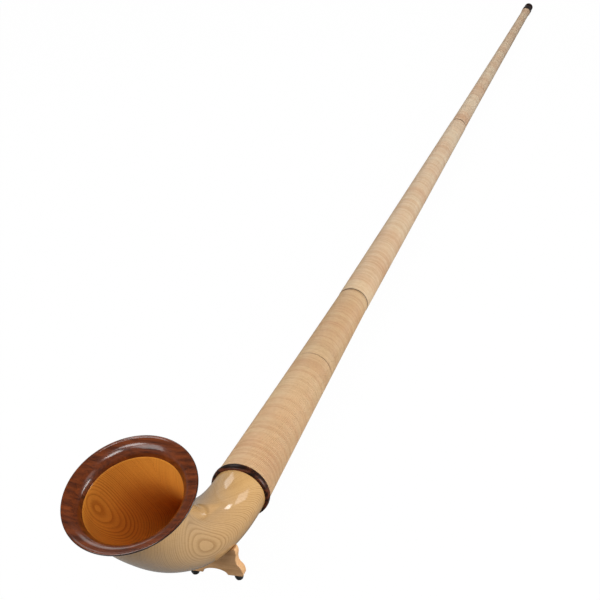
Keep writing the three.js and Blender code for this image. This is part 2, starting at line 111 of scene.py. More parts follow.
# The spruce boards. Their growth rings lie as layers nearly in the plane of the bend. Each board has the x and z
# where a layer just touches its surface, the slope of the layers there, how they bow away from it along x, across
# and along z, and the direction of its grain in the plane
RIGHT_BOARD = ((-1.6087, 0.2019), (0.0831, 0.1990), (0.569, -0.550, 0.531), radians(-44))
LEFT_BOARD = ((-1.6806, 0.3310), (-0.0576, 0.1933), (2.42, 0.60, 3.14), radians(-50))
TUBE_BOARD = ((0.0, 0.0), (0.0, 0.35), (0.0, 0.0, 0.0), LEAN)


def linear(code):
    """A colour as scene-linear numbers, from its sRGB hex code."""
    channels = [int(code[i:i + 2], 16) / 255 for i in (1, 3, 5)]
    return tuple(c / 12.92 if c <= 0.04045 else ((c + 0.055) / 1.055) ** 2.4 for c in channels)


def colour(name, description, code):
    return bpy.props.FloatVectorProperty(
        name=name, description=description, subtype="COLOR", size=3, min=0.0, max=1.0, default=linear(code))


def length(name, description, default, low, high):
    return bpy.props.FloatProperty(
        name=name, description=description, default=default, min=low, max=high, subtype="DISTANCE", unit="LENGTH")


class AlphornSizes(PropertyGroup):
    cane_width: length("Cane width", "Width of one turn of the flat cane", 0.0044, 0.002, 0.01)
    cane_thickness: length("Cane thickness", "Height of the cane over the wood", 0.0013, 0.0005, 0.0016)
    ring_spacing: length("Ring spacing", "Distance between two growth rings of the spruce", 0.0021, 0.0008, 0.006)
    rim_radius: length("Rim radius", "Radius of the rim's widest bead", 0.1251, 0.11, 0.1251)
    rim_height: length("Rim height", "Height of the rim along the bell's axis", 0.022, 0.015, 0.022)
    neck_ring_radius: length("Neck ring radius", "Largest radius of the neck ring", 0.0642, 0.060, 0.0642)
    board_thickness: length("Foot thickness", "Thickness of the foot board", 0.017, 0.012, 0.017)
    board_edge: length("Foot edge", "Radius of the foot board's rounded edges", 0.0018, 0.0005, 0.003)


class AlphornColours(PropertyGroup):
    spruce: colour("Spruce", "Varnished spruce outside the bell", "#CCA36B")
    spruce_line: colour("Spruce line", "Dark late wood of a growth ring", "#96682A")
    spruce_inside: colour("Spruce inside", "Stained spruce inside the bell", "#DE953A")
    spruce_inside_line: colour("Inside line", "Growth ring inside the bell", "#9C4F12")
    bare_spruce: colour("Bare spruce", "Unvarnished wood under the cane", "#DDC394")
    walnut: colour("Walnut", "Lighter figure of the rim", "#703310")
    walnut_dark: colour("Walnut figure", "Darker figure of the rim", "#260B03")
    ring_wood: colour("Ring wood", "Lighter figure of the neck ring", "#743A1E")
    ring_wood_dark: colour("Ring figure", "Darker figure of the neck ring", "#1A0A05")
    cane: colour("Cane", "Peeled rattan cane near the bell", "#D0B58F")
    cane_warm: colour("Warm cane", "Pinkish lengths of the cane", "#C69D77")
    pale_cane: colour("Pale cane", "Cane of the two upper sections", "#D3C0A5")
    pale_cane_warm: colour("Pale warm cane", "Pinkish lengths of the paler cane", "#C6A283")
    # Painted shade: the dark line drawn where two sections or two canes meet, standing in for the shadow in their gap
    joint_shade: colour("Joint line", "The dark line where two sections or two canes meet", "#3E2A1A")
    cane_dark: colour("Cane joint", "The gap between two turns", "#8C6844")
    pear: colour("Pear wood", "The foot board", "#D9AB7B")
    pear_dark: colour("Pear figure", "Darker figure of the foot board", "#AE7D4C")
    rubber: colour("Rubber", "The feet and the seal rings", "#101010")
    floor: colour("Floor", "The studio floor", "#7C7C7C")


def sizes():
    return bpy.context.scene.alphorn_sizes


def colours():
    return bpy.context.scene.alphorn_colours


def add(tree, kind, inputs=(), operation=None, **settings):
    """Adds a node with its settings and links, and returns the first of its outputs that is in use.

    Each input, by name or in order, is a value, a colour or the socket that feeds it.
    """
    node = tree.nodes.new(kind)
    if operation:
        settings["operation"] = operation
    for key, value in settings.items():
        setattr(node, key, value)
    for key, value in inputs.items() if isinstance(inputs, dict) else enumerate(inputs):
        socket = node.inputs[key]
        if isinstance(value, bpy.types.NodeSocket):
            tree.links.new(value, socket)
        else:
            socket.default_value = (*value, 1.0) if socket.type == "RGBA" else value
    return next((socket for socket in node.outputs if socket.enabled), node)


def bare_tree(owner):
    """The emptied node tree of a material or a world."""
    owner.use_nodes = True
    owner.node_tree.nodes.clear()
    return owner.node_tree


def new_material(name):
    """A material and its empty tree."""
    material = bpy.data.materials.new(name)
    return material, bare_tree(material)


def shade(material, base, roughness, height, bump, shader):
    """Ends a material's tree. bump is how strongly the pattern in height stands out, and how far in metres."""
    tree = material.node_tree
    normal = add(tree, "ShaderNodeBump", {"Strength": bump[0], "Distance": bump[1], "Height": height})
    shaded = add(tree, "ShaderNodeBsdfPrincipled", {
        "Base Color": base, "Roughness": roughness, "Normal": normal, **shader})
    add(tree, "ShaderNodeOutputMaterial", {"Surface": shaded})
    return material


def place(tree, location=(0, 0, 0), rotation=(0, 0, 0), kind="POINT"):
    """The piece's own coordinates, moved and turned."""
    here = add(tree, "ShaderNodeTexCoord").node.outputs["Object"]
    return add(tree, "ShaderNodeMapping", (here, location, rotation), vector_type=kind)


def streaks(tree, here, stretch, detail, roughness=0.5, distortion=0.0):
    """Noise. stretch is how many spots of it fit in a metre along each axis."""
    here = add(tree, VECTOR_MATH, (here, stretch), "MULTIPLY")
    return add(tree, NOISE, {
        "Vector": here, "Scale": 1.0, "Detail": detail, "Roughness": roughness, "Distortion": distortion})


def growth_rings(tree, spacing, board):
    """Growth rings of a board.

    Returns how dark the late wood is, from 0 to 1, a slow variation in waves of 450 mm along the grain and 70 to
    110 mm across it, and the point as the grain sees it.
    """
    centre, slope, bow, grain = board
    here = place(tree, (-centre[0], 0, -centre[1]))
    turned = add(tree, "ShaderNodeMapping", (here, (0, 0, 0), (0, grain, 0)))
    wander = streaks(tree, turned, (2.2, 14.0, 9.0), 2.0, 0.45)
    x, y, z = add(tree, SPLIT, (here,)).node.outputs
    by_x = add(tree, MATH, (x, -bow[0] / 2, -slope[0]), "MULTIPLY_ADD")
    by_x = add(tree, MATH, (z, -bow[1], by_x), "MULTIPLY_ADD")
    by_z = add(tree, MATH, (z, -bow[2] / 2, -slope[1]), "MULTIPLY_ADD")
    layer = add(tree, MATH, (y,), "ABSOLUTE")
    for value, factor in ((x, by_x), (z, by_z), (wander, 0.0024)):
        layer = add(tree, MATH, (value, factor, layer), "MULTIPLY_ADD")
    count = add(tree, MATH, (layer, spacing), "DIVIDE")
    year = add(tree, MATH, (count,), "FLOOR")
    share = add(tree, MATH, (count, year), "SUBTRACT")
    # The late wood darkens slowly through the year and ends at once
    late = add(tree, RANGE, (share, 0.35, 0.92), interpolation_type="SMOOTHSTEP")
    fade = add(tree, RANGE, (share, 0.93, 1.0, 1.0, 0.0), interpolation_type="SMOOTHSTEP")
    line = add(tree, MATH, (late, fade), "MULTIPLY")
    strength = add(tree, WHITE_NOISE, {"W": year}, noise_dimensions="1D")
    strength = add(tree, RANGE, (strength, 0.0, 1.0, 0.35, 1.0))
    return add(tree, MATH, (line, strength), "MULTIPLY"), wander, turned


def spruce(name, pale, dark, contrast, roughness, coat, spacing, board):
    """Mountain spruce: pale early wood, darker late wood every 2 mm, and fibres 1.1 mm wide and 17 mm long."""
    material, tree = new_material(name)
    line, wander, turned = growth_rings(tree, spacing, board)
    fibre = streaks(tree, turned, (60, 900, 900), 3.0, 0.6)
    fibre = add(tree, RANGE, (fibre, 0.35, 0.7, 0.0, 0.22))
    cloud = add(tree, RANGE, (wander, 0.3, 0.7, 0.0, 0.18))
    amount = add(tree, MATH, (line, contrast, fibre), "MULTIPLY_ADD")
    amount = add(tree, MATH, (amount, cloud), "ADD", use_clamp=True)
    tone = add(tree, MIX, {"Factor": amount, "A": pale, "B": dark}, data_type="RGBA")
    return shade(material, tone, roughness, amount, (0.12, 0.0002), {
        "Specular IOR Level": 0.15, "Coat Weight": coat, "Coat Roughness": 0.09, "Coat IOR": 1.65})


def figured_wood(name, light, dark, stretch, roughness, coat, low=0.35, high=0.68, turn=0.0, edge=None):
    """Fine hardwood, such as walnut or pear: streaks drawn out along the grain, and dark pores a ninth their size.

    turn picks another cut of the same figure. Wood further from the bell's axis than edge is painted nearly black, as
    painted shade and a painted dark reflection on the rim's outer bead.
    """
    material, tree = new_material(name)
    here = place(tree, rotation=(0, turn, 0))
    body = streaks(tree, here, stretch, 5.0, 0.62, 0.6)
    body = add(tree, RANGE, (body, low, high))
    pores = streaks(tree, here, [count * 9 for count in stretch], 2.0)
    pores = add(tree, RANGE, (pores, 0.56, 0.72, 0.0, 0.35))
    amount = add(tree, MATH, (body, pores), "ADD", use_clamp=True)
    tone = add(tree, MIX, {"Factor": amount, "A": light, "B": dark}, data_type="RGBA")
    if edge:
        # Painted shade: the rim's outer bead is darkened nearly to black, in place of its shade and dark reflection
        out = place(tree, HORN @ BELL_LIP, (0, LEAN - pi / 2 + BELL_TURN, 0), "TEXTURE")
        out = add(tree, VECTOR_MATH, (out, (1.0, 1.0, 0.0)), "MULTIPLY")
        out = add(tree, VECTOR_MATH, (out,), "LENGTH")
        black = add(tree, RANGE, (out, edge, edge + 0.0008, 0.0, 0.85))
        tone = add(tree, MIX, {"Factor": black, "A": tone, "B": [v * 0.3 for v in dark]}, data_type="RGBA")
    return shade(material, tone, roughness, amount, (0.05, 0.0001), {
        "Specular IOR Level": 0.12, "Coat Weight": coat, "Coat Roughness": 0.14, "Coat IOR": 1.5})


def rattan(name, width):
    """Peeled rattan cane, wound flat: satin, each turn a little different and long stretches warmer or paler, with
    a darker joint between turns, fibres 0.5 mm wide along the strand, and painted shade as a dark line where two
    sections or two canes meet. The two upper sections are wound in paler cane."""
    c = colours()
    material, tree = new_material(name)
    here = place(tree, NECK, (0, LEAN, 0), "TEXTURE")
    along, across, over = add(tree, SPLIT, (here,)).node.outputs
    turn = add(tree, MATH, (across, over), "ARCTAN2")
    turn = add(tree, MATH, (turn, 1 / tau), "MULTIPLY")
    # Each winding counts its turns from its own start
    start, before = CANE_SLACK, 0.0
    for spot in (SPLICE, FIRST_JOINT, SECOND_JOINT):
        past = add(tree, MATH, (along, spot), "GREATER_THAN")
        start = add(tree, MATH, (past, spot - before, start), "MULTIPLY_ADD")
        before = spot
    phase = along
    for value, operation in ((start, "SUBTRACT"), (width, "DIVIDE"), (turn, "SUBTRACT")):
        phase = add(tree, MATH, (phase, value), operation)
    number = add(tree, MATH, (phase,), "FLOOR")
    edge = phase
    for value, operation in ((number, "SUBTRACT"), (0.5, "SUBTRACT"), (0.0, "ABSOLUTE")):
        edge = add(tree, MATH, (edge, value), operation)
    gap = add(tree, RANGE, (edge, 0.26, 0.48), interpolation_type="SMOOTHSTEP")
    number = add(tree, MATH, (start, 1000.0, number), "MULTIPLY_ADD")
    own = add(tree, WHITE_NOISE, {"W": number}, noise_dimensions="1D")
    # A strand of cane lasts for about seven turns
    strand = add(tree, MATH, (number, 7.0), "DIVIDE")
    strand = add(tree, MATH, (strand,), "FLOOR")
    strand = add(tree, WHITE_NOISE, {"W": strand}, noise_dimensions="1D")
    # Patches 45 mm long and 110 mm wide, and stretches 140 mm long
    spots = streaks(tree, here, (22.0, 9.0, 9.0), 4.0, 0.65)
    lengths = add(tree, NOISE, {"W": along, "Scale": 7.0, "Detail": 1.0}, noise_dimensions="1D")
    warm = add(tree, MATH, (lengths, 1.2), "MULTIPLY")
    for value, factor in ((spots, 1.2), (strand, 0.15), (own, 0.35)):
        warm = add(tree, MATH, (value, factor, warm), "MULTIPLY_ADD")
    warm = add(tree, RANGE, (warm, 1.12, 2.05))
    fibre = [add(tree, MATH, pair, "MULTIPLY") for pair in ((phase, 9.0), (turn, 26.0))]
    fibre = add(tree, JOIN, fibre)
    fibre = add(tree, NOISE, {"Vector": fibre, "Scale": 1.0, "Detail": 3.0, "Roughness": 0.6})
    fibre = add(tree, RANGE, (fibre, 0.4, 0.7, 0.0, 0.25))
    own = add(tree, RANGE, (own, 0.4, 1.0, 0.0, 0.12))
    # The cane of the upper winding is a little darker than the rest
    deep = add(tree, RANGE, (along, 0.3, 0.5, 0.0, 0.14))
    below = add(tree, MATH, (along, FIRST_JOINT), "LESS_THAN")
    deep = add(tree, MATH, (deep, below), "MULTIPLY")
    dark = gap
    for value in (fibre, own, deep):
        dark = add(tree, MATH, (dark, value), "ADD", use_clamp=True)
    far = add(tree, RANGE, (along, FIRST_JOINT, 1.8, 0.0, 0.55))
    above = add(tree, MATH, (along, FIRST_JOINT), "GREATER_THAN")
    far = add(tree, MATH, (above, 0.45, far), "MULTIPLY_ADD")
    plain, pink = (add(tree, MIX, {"Factor": far, "A": near, "B": upper}, data_type="RGBA")
                   for near, upper in ((c.cane, c.pale_cane), (c.cane_warm, c.pale_cane_warm)))
    # Painted shade: a dark line where two sections or two canes meet, in place of the shadow in their gap
    joint_shade_lines = 0.0
    for spot, reach, depth in ((SPLICE, 0.0013, 0.6), (FIRST_JOINT, 0.0018, 1.0), (SECOND_JOINT, 0.0026, 0.9)):
        off = add(tree, MATH, (along, spot), "SUBTRACT")
        off = add(tree, MATH, (off,), "ABSOLUTE")
        off = add(tree, RANGE, (off, reach * 0.6, reach * 1.4, depth, 0.0))
        joint_shade_lines = add(tree, MATH, (joint_shade_lines, off), "MAXIMUM")
    tone = plain
    for share, value in ((warm, pink), (dark, c.cane_dark), (joint_shade_lines, c.joint_shade)):
        tone = add(tree, MIX, {"Factor": share, "A": tone, "B": value}, data_type="RGBA")
    return shade(material, tone, 0.42, dark, (0.2, 0.0003), {
        "Specular IOR Level": 0.3, "Coat Weight": 0.12, "Coat Roughness": 0.3})


def moulded_rubber(name, base):
    """Nearly black and matt, with a bloom of 1 mm specks."""
    material, tree = new_material(name)
    bloom = add(tree, NOISE, {"Vector": place(tree), "Scale": 900.0, "Detail": 3.0})
    tone = add(tree, MIX, {"Factor": bloom, "A": base, "B": [v + 0.012 for v in base]}, data_type="RGBA")
    return shade(material, tone, 0.7, bloom, (0.1, 0.0001), {"IOR": 1.52})


def turned_metal(name, tone, roughness):
    """Metal turned on a lathe: fine rings 0.2 mm apart round the tube, seen as a soft streak of light."""
    material, tree = new_material(name)
    here = place(tree, NECK, (0, LEAN, 0), "TEXTURE")
    rings = streaks(tree, here, (5000.0, 30.0, 30.0), 2.0)
    rough = add(tree, RANGE, (rings, 0.0, 1.0, roughness - 0.08, roughness + 0.1))
    return shade(material, tone, rough, rings, (0.08, 0.00005), {"Metallic": 1.0})


def lay_down(obj, body, slot, *nodes):
    """Hangs a piece on the body it rides on and hides the CAD nodes it stands for. slot is not used."""
    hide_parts(*nodes)
    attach(obj, body)


def face_out(mesh, merge=False):
    """Turns a mesh's faces outwards, with its doubled points merged first if wanted."""
    work = bmesh.new()
    work.from_mesh(mesh)
    if merge:
        bmesh.ops.remove_doubles(work, verts=work.verts, dist=1e-6)
    bmesh.ops.recalc_face_normals(work, faces=work.faces)
    work.to_mesh(mesh)
    work.free()


def new_object(name, data):
    obj = bpy.data.objects.new(name, data)
    bpy.context.scene.collection.objects.link(obj)
    return obj


def new_piece(name, verts, faces, materials, sharp=35.0, indices=None):
    """A piece with smooth faces, and sharp edges where they meet at more than so many degrees."""
    mesh = bpy.data.meshes.new(name)
    mesh.from_pydata(verts, [], faces)
    for material in materials:
        mesh.materials.append(material)
    if indices:
        mesh.polygons.foreach_set("material_index", indices)
    mesh.validate()
    face_out(mesh)
    mesh.shade_smooth()
    mesh.set_sharp_from_angle(angle=radians(sharp))
    mesh.update()
    return new_object(name, mesh)


def skin(rows, around, close_rows=False, close_around=True):
    """Faces between rows of points that follow one another."""
    faces = []
    for r in range(rows if close_rows else rows - 1):
        s = (r + 1) % rows
        for k in range(around if close_around else around - 1):
            m = (k + 1) % around
            faces.append((r * around + k, r * around + m, s * around + m, s * around + k))
    return faces


def between(a, b, c, d, t):
    """The smooth curve through four values, at a share of the way from b to c."""
    return 0.5 * (2 * b + (c - a) * t + (2 * a - 5 * b + 4 * c - d) * t * t + (3 * b - a - 3 * c + d) * t ** 3)


def smooth(points, steps):
    """A smooth run through [radius, place] points. A point given twice stays a corner."""
    out = []
    last = len(points) - 1
    for i in range(last):
        near = [points[min(max(k, 0), last)] for k in range(i - 1, i + 3)]
        if near[1] != near[2]:
            out += [tuple(between(*values, k / steps) for values in zip(*near)) for k in range(steps)]
    out.append(tuple(points[-1]))
    spans = [(min(values), max(values)) for values in zip(*points)]
    return [tuple(min(max(v, low), high) for v, (low, high) in zip(point, spans)) for point in out]


def lathe(name, profile, material, sharp, segments=96, matrix=HORN):
    """A closed [radius, place] profile turned about the matrix's X axis."""
    verts = [matrix @ Vector((s, r * sin(a), r * cos(a)))
             for a in (tau * i / segments for i in range(segments)) for r, s in profile]
    obj = new_piece(name, verts, skin(segments, len(profile), close_rows=True), [material], sharp)
    face_out(obj.data, merge=True)
    return obj


def tube_radius(section, s):
    """Outer radius of a tube section at a place along the horn."""
    start, end, wide, narrow, sag = section
    t = min(max((s - start) / (end - start), 0.0), 1.0)
    swell = SWELL * min(max((s - SWELL_START) / (MOUTH_END - SWELL_START), 0.0), 1.0)
    return wide + (narrow - wide) * t - 4 * sag * t * (1 - t) + swell


def swell_share(share):
    """How far the bell has grown at a share of its middle line."""
    last = len(SWELL_SHARES) - 1
    i = min(int(share * last), last - 1)
    return between(*(SWELL_SHARES[min(max(k, 0), last)] for k in range(i - 1, i + 3)), share * last - i)


def bell_stations(count):
    """Stations along the bell's middle line in the horn's axes: centre, up, outer radius and bore."""
    lip_end = BELL_LIP - BELL_AXIS * BELL_LENGTH_IN_RIM
    # The middle line is a curve with four control points
    p = (Vector((-NECK_RING_LENGTH, 0, 0)), Vector((-0.193, 0, 0)), lip_end - BELL_AXIS * 0.158, lip_end)

    def at(t):
        u = 1 - t
        return u ** 3 * p[0] + 3 * t * u * u * p[1] + 3 * t * t * u * p[2] + t ** 3 * p[3]

    def ahead(t):
        u = 1 - t
        return (3 * u * u * (p[1] - p[0]) + 6 * t * u * (p[2] - p[1]) + 3 * t * t * (p[3] - p[2])).normalized()

    # Length of the middle line in fine steps, to space the stations evenly
    fine = 600
    run = [0.0]
    for i in range(fine):
        run.append(run[-1] + (at((i + 1) / fine) - at(i / fine)).length)
    neck_wall = BELL_NECK_R - (tube_radius(BELL_TUBE, 0) - WALL_STACK)
    stations = []
    for i in range(count + 1):
        share = i / count
        k = next((k for k in range(fine) if run[k + 1] >= share * run[-1]), fine - 1)
        t = (k + (share * run[-1] - run[k]) / (run[k + 1] - run[k])) / fine
        way = ahead(t)
        outer = BELL_NECK_R + (BELL_MOUTH_R - BELL_NECK_R) * swell_share(share)
        wall = neck_wall + (WALL_AT_RIM - neck_wall) * share
        stations.append((at(t), Vector((way.z, 0, -way.x)), outer, outer - wall))
    start = (Vector((-SLACK, 0, 0)), Vector((0, 0, 1)), BELL_NECK_R, stations[0][3])
    # The bore's last millimetre is eased back, and shows as a pale line inside the rim
    end, up, outer, bore = stations[-1]
    stations[-1] = (end - BELL_AXIS * EASED, up, outer, bore)
    return [start] + stations + [(end, up, outer, bore + EASED)]


def bell_surface(count, around, grow):
    """The bell's outside, grown a little, as a tree of faces to seat the foot on."""
    stations = bell_stations(count)
    verts = [HORN @ (centre + up * (outer + grow) * cos(a) + Vector((0, (outer + grow) * sin(a), 0)))
             for centre, up, outer, _ in stations for a in (tau * i / around for i in range(around))]
    return BVHTree.FromPolygons(verts, skin(len(stations), around))


class ALPHORN_OT_bell(Operator):
    """Carves the two spruce halves of the bell, varnished outside and stained inside"""
    bl_idname = "alphorn.bell"
    bl_label = "Bell halves"
    bl_options = {"REGISTER", "UNDO"}

    def execute(self, context):
        c = colours()
        spacing = sizes().ring_spacing
        stations = bell_stations(110)
        loop = [(p, up, outer, 0) for p, up, outer, _ in stations]
        loop += [(p, up, bore, 1) for p, up, _, bore in reversed(stations)]
        total, half = len(loop), 72
        row = half + 1
        for side, name, node, board in ((1, "bell_left", "bell_half_left", LEFT_BOARD),
                                        (-1, "bell_right", "bell_half_right", RIGHT_BOARD)):
            # Mountain spruce under clear gloss varnish: sharp reflections over fine growth rings
            outside = spruce("varnished_spruce", c.spruce, c.spruce_line, 0.62, 0.5, 1.0, spacing, board)
            # The same wood oiled and stained amber inside, where the light bounces between the walls
            inside = spruce("stained_spruce", c.spruce_inside, c.spruce_inside_line, 0.62, 0.5, 0.15,
                            spacing * 1.15, board)
            verts = []
            for centre, up, radius, _ in loop:
                for a in (pi * i / half for i in range(row)):
                    out = side * max(radius * sin(a), SEAM)
                    verts.append(HORN @ (centre + up * radius * cos(a) + Vector((0, out, 0))))
            faces = skin(total, row, close_rows=True, close_around=False)
            kinds = [int(loop[p][3] and loop[(p + 1) % total][3]) for p in range(total) for _ in range(half)]
            # The flat faces of the glued seam
            for p in range(len(stations) - 1):
                for column in (0, half):
                    faces.append([r * row + column for r in (p, p + 1, total - 2 - p, total - 1 - p)])
                    kinds.append(0)
            piece = new_piece(name, verts, faces, [outside, inside], 40.0, kinds)
            lay_down(piece, "bell_section", "bell_spruce", node)
        return {"FINISHED"}


class ALPHORN_OT_rim(Operator):
    """Turns the walnut rim with its hollow flare and beaded lip"""
    bl_idname = "alphorn.rim"
    bl_label = "Bell rim"
    bl_options = {"REGISTER", "UNDO"}

    def execute(self, context):
        c, s = colours(), sizes()
        # Walnut under many coats of clear gloss varnish, its streaks 9 mm wide and 110 mm long across the horn
        # Its outer bead, the last 1.6 mm out to the widest radius, is painted nearly black as painted shade
        walnut = figured_wood("varnished_walnut", c.walnut, c.walnut_dark, (110.0, 9.0, 110.0), 0.35, 0.7,
                              0.3, 0.75, radians(18), s.rim_radius - 0.0016)
        bore = BELL_MOUTH_R - WALL_AT_RIM
        shares = [(0, 0), (0, 0), (0.04, 0.14), (0.13, 0.4), (0.28, 0.66), (0.5, 0.84), (0.74, 0.915), (0.82, 0.935),
                  (0.86, 0.965), (0.915, 0.998), (0.975, 0.975), (0.998, 0.91), (0.985, 0.84), (0.95, 0.79),
                  (0.93, 0.75), (0.8, 0.675), (0.55, 0.5), (0.34, 0.28), (0.19, 0.0), (0.19, 0.0)]
        points = [(bore + a * (s.rim_radius - bore), (b - 1) * s.rim_height - RIM_BACK) for a, b in shares]
        axis = HORN.to_3x3() @ BELL_AXIS
        matrix = Matrix.Translation(HORN @ BELL_LIP) @ axis.to_track_quat("X", "Z").to_matrix().to_4x4()
        rim = lathe("rim", smooth(points, 7), walnut, 50.0, 192, matrix)
        lay_down(rim, "bell_section", "walnut", "bell_rim")
        return {"FINISHED"}


class ALPHORN_OT_neck_ring(Operator):
    """Turns the dark ring that covers the end of the cane at the neck"""
    bl_idname = "alphorn.neck_ring"
    bl_label = "Neck ring"
    bl_options = {"REGISTER", "UNDO"}

    def execute(self, context):
        c, s = colours(), sizes()
        # Dark walnut with a satin varnish, its streaks 11 mm wide and 83 mm long
        wood = figured_wood("dark_walnut", c.ring_wood, c.ring_wood_dark, (90.0, 12.0, 90.0), 0.4, 0.08, 0.22, 0.56)
        hole = BELL_NECK_R + SLACK / 3
        deep = s.neck_ring_radius - hole
        shares = [(0, 0), (0, 0), (0.3, 0.01), (0.72, 0.12), (0.93, 0.34), (1, 0.6), (0.98, 0.82), (0.9, 0.95),
                  (0.8, 1), (0.8, 1), (0, 1), (0, 1)]
        points = [(hole + a * deep, (b - 1) * NECK_RING_LENGTH) for a, b in shares]
        collar = lathe("collar", smooth(points, 6), wood, 50.0, 144)
        lay_down(collar, "bell_section", "dark_walnut", "neck_ring")
        return {"FINISHED"}


def start_group(name, inputs):
    """Starts a tree of geometry nodes. Each input has its default number or its kind of socket."""
    tree = bpy.data.node_groups.new(name, "GeometryNodeTree")
    tree.is_modifier = True
    for label, value in {"Geometry": "Geometry", **inputs, "Material": "Material"}.items():
        kind = {float: "Float", int: "Int"}.get(type(value), value)
        socket = tree.interface.new_socket(label, in_out="INPUT", socket_type="NodeSocket" + kind)
        if kind != value:
            socket.default_value = value
    tree.interface.new_socket("Geometry", in_out="OUTPUT", socket_type="NodeSocketGeometry")
    return tree, add(tree, "NodeGroupInput").node.outputs


def finish_group(tree, get, made):
    """Realizes what a tree has made, gives it its material and hands it on."""
    made = add(tree, "GeometryNodeRealizeInstances", (made,))
    made = add(tree, "GeometryNodeSetMaterial", {"Geometry": made, "Material": get["Material"]})
    add(tree, "NodeGroupOutput", (made,))
    return tree


def grow(obj, tree, values):
    """Runs a node tree on an object, and leaves what it makes as the object's plain mesh."""
    modifier = obj.modifiers.new("nodes", "NODES")
    modifier.node_group = tree
    for item in tree.interface.items_tree:
        if item.in_out == "INPUT" and item.name in values:
            modifier[item.identifier] = values[item.name]
    obj.update_tag()
    graph = bpy.context.evaluated_depsgraph_get()
    mesh = bpy.data.meshes.new_from_object(obj.evaluated_get(graph))
    obj.modifiers.clear()
    obj.data = mesh
    return mesh


def winding_tree():
    """Geometry nodes that wind flat cane round a cone, one turn beside the other, over a straight length."""
    tree, get = start_group("cane_winding", {
        "Start": 0.0, "End": 1.0, "Section Start": 0.0, "Section End": 1.0, "Wide Radius": 0.05, "Narrow Radius": 0.03,
        "Draw In": 0.0, "Swell Start": SWELL_START, "Swell": 0.0, "Cane Width": 0.0044, "Cane Thickness": 0.0013,
        "Steps": 48})
    width = get["Cane Width"]
    span = add(tree, MATH, (get["End"], get["Start"]), "SUBTRACT")
    turns = add(tree, MATH, (span, width), "DIVIDE")
    turns = add(tree, MATH, (turns, 1.0), "ADD")
    points = add(tree, MATH, (turns, get["Steps"], 1.0), "MULTIPLY_ADD")
    line = add(tree, "GeometryNodeCurvePrimitiveLine", {"End": (0, 0, 1)})
    line = add(tree, "GeometryNodeResampleCurve", {"Curve": line, "Count": points}, mode="COUNT")
    last = add(tree, MATH, (points, 1.0), "SUBTRACT")
    turn = add(tree, MATH, (add(tree, "GeometryNodeInputIndex"), last), "DIVIDE")
    turn = add(tree, MATH, (turn, turns), "MULTIPLY")
    angle = add(tree, MATH, (turn, tau), "MULTIPLY")
    half = add(tree, MATH, (width, 0.5), "MULTIPLY")
    free = add(tree, MATH, (turn, width), "MULTIPLY")
    free = add(tree, MATH, (free, half), "SUBTRACT")
    stop = add(tree, MATH, (span, half), "SUBTRACT")
    along = add(tree, MATH, (free, stop), "MINIMUM")
    along = add(tree, MATH, (along, half), "MAXIMUM")
    # The first and last turn lie level, a little under the turn that crosses them
    under = free
    for value, operation in ((along, "SUBTRACT"), (0.0, "ABSOLUTE"), (0.12, "MULTIPLY")):
        under = add(tree, MATH, (under, value), operation)
    here = add(tree, MATH, (along, get["Start"]), "ADD")
    share = add(tree, RANGE, (here, get["Section Start"], get["Section End"]))
    drawn = add(tree, MATH, (1.0, share), "SUBTRACT")
    drawn = add(tree, MATH, (share, drawn), "MULTIPLY")
    most = add(tree, MATH, (get["Draw In"], 4.0), "MULTIPLY")
    drawn = add(tree, MATH, (drawn, most), "MULTIPLY")
    swollen = add(tree, RANGE, (here, get["Swell Start"], get["Section End"]))
    swollen = add(tree, MATH, (swollen, get["Swell"]), "MULTIPLY")
    radius = add(tree, MIX, {"Factor": share, "A": get["Wide Radius"], "B": get["Narrow Radius"]})
    for value, operation in ((drawn, "SUBTRACT"), (swollen, "ADD"), (get["Cane Thickness"], "SUBTRACT"),
                             (under, "SUBTRACT")):
        radius = add(tree, MATH, (radius, value), operation)
    x, y = (add(tree, MATH, (radius, add(tree, MATH, (angle,), way)), "MULTIPLY") for way in ("COSINE", "SINE"))
    spot = add(tree, JOIN, (x, y, here))
    line = add(tree, "GeometryNodeSetPosition", {"Geometry": line, "Position": spot})
    line = add(tree, "GeometryNodeSetCurveNormal", (line,), mode="Z_UP")
    # Section of the cane: flat below, lightly crowned above, drawn as a closed run of five points
    section = add(tree, "GeometryNodeMeshLine", {"Count": 5})
    section = add(tree, "GeometryNodeMeshToCurve", (section,))
    section = add(tree, "GeometryNodeSetSplineCyclic", {"Geometry": section, "Cyclic": True})
    share = add(tree, MATH, (add(tree, "GeometryNodeInputIndex"), 4.0), "DIVIDE")
    corner = []
    for heights in ((0.0, 0.16, 0.5, 0.84, 1.0), (0.0, 0.8, 1.0, 0.8, 0.0)):
        corner.append(add(tree, "ShaderNodeFloatCurve", {"Value": share}))
        mapping = corner[-1].node.mapping
        curve = mapping.curves[0]
        for i in range(1, 4):
            curve.points.new(i / 4, heights[i])
        for i, point in enumerate(curve.points):
            point.location = (i / 4, heights[i])
            point.handle_type = "VECTOR"
        mapping.update()
    across = add(tree, MATH, (corner[0], 0.5), "SUBTRACT")
    across = add(tree, MATH, (across, width), "MULTIPLY")
    high = add(tree, MATH, (corner[1], get["Cane Thickness"]), "MULTIPLY")
    spot = add(tree, JOIN, (across, high))
    section = add(tree, "GeometryNodeSetPosition", {"Geometry": section, "Position": spot})
    wound = add(tree, "GeometryNodeCurveToMesh", {"Curve": line, "Profile Curve": section, "Fill Caps": True})
    return finish_group(tree, get, wound)


# From a winding's own Z axis to the horn's X axis, with the winding's X axis up
WINDING = HORN @ Matrix(((0, 0, 1, 0), (0, 1, 0, 0), (1, 0, 0, 0), (0, 0, 0, 1)))


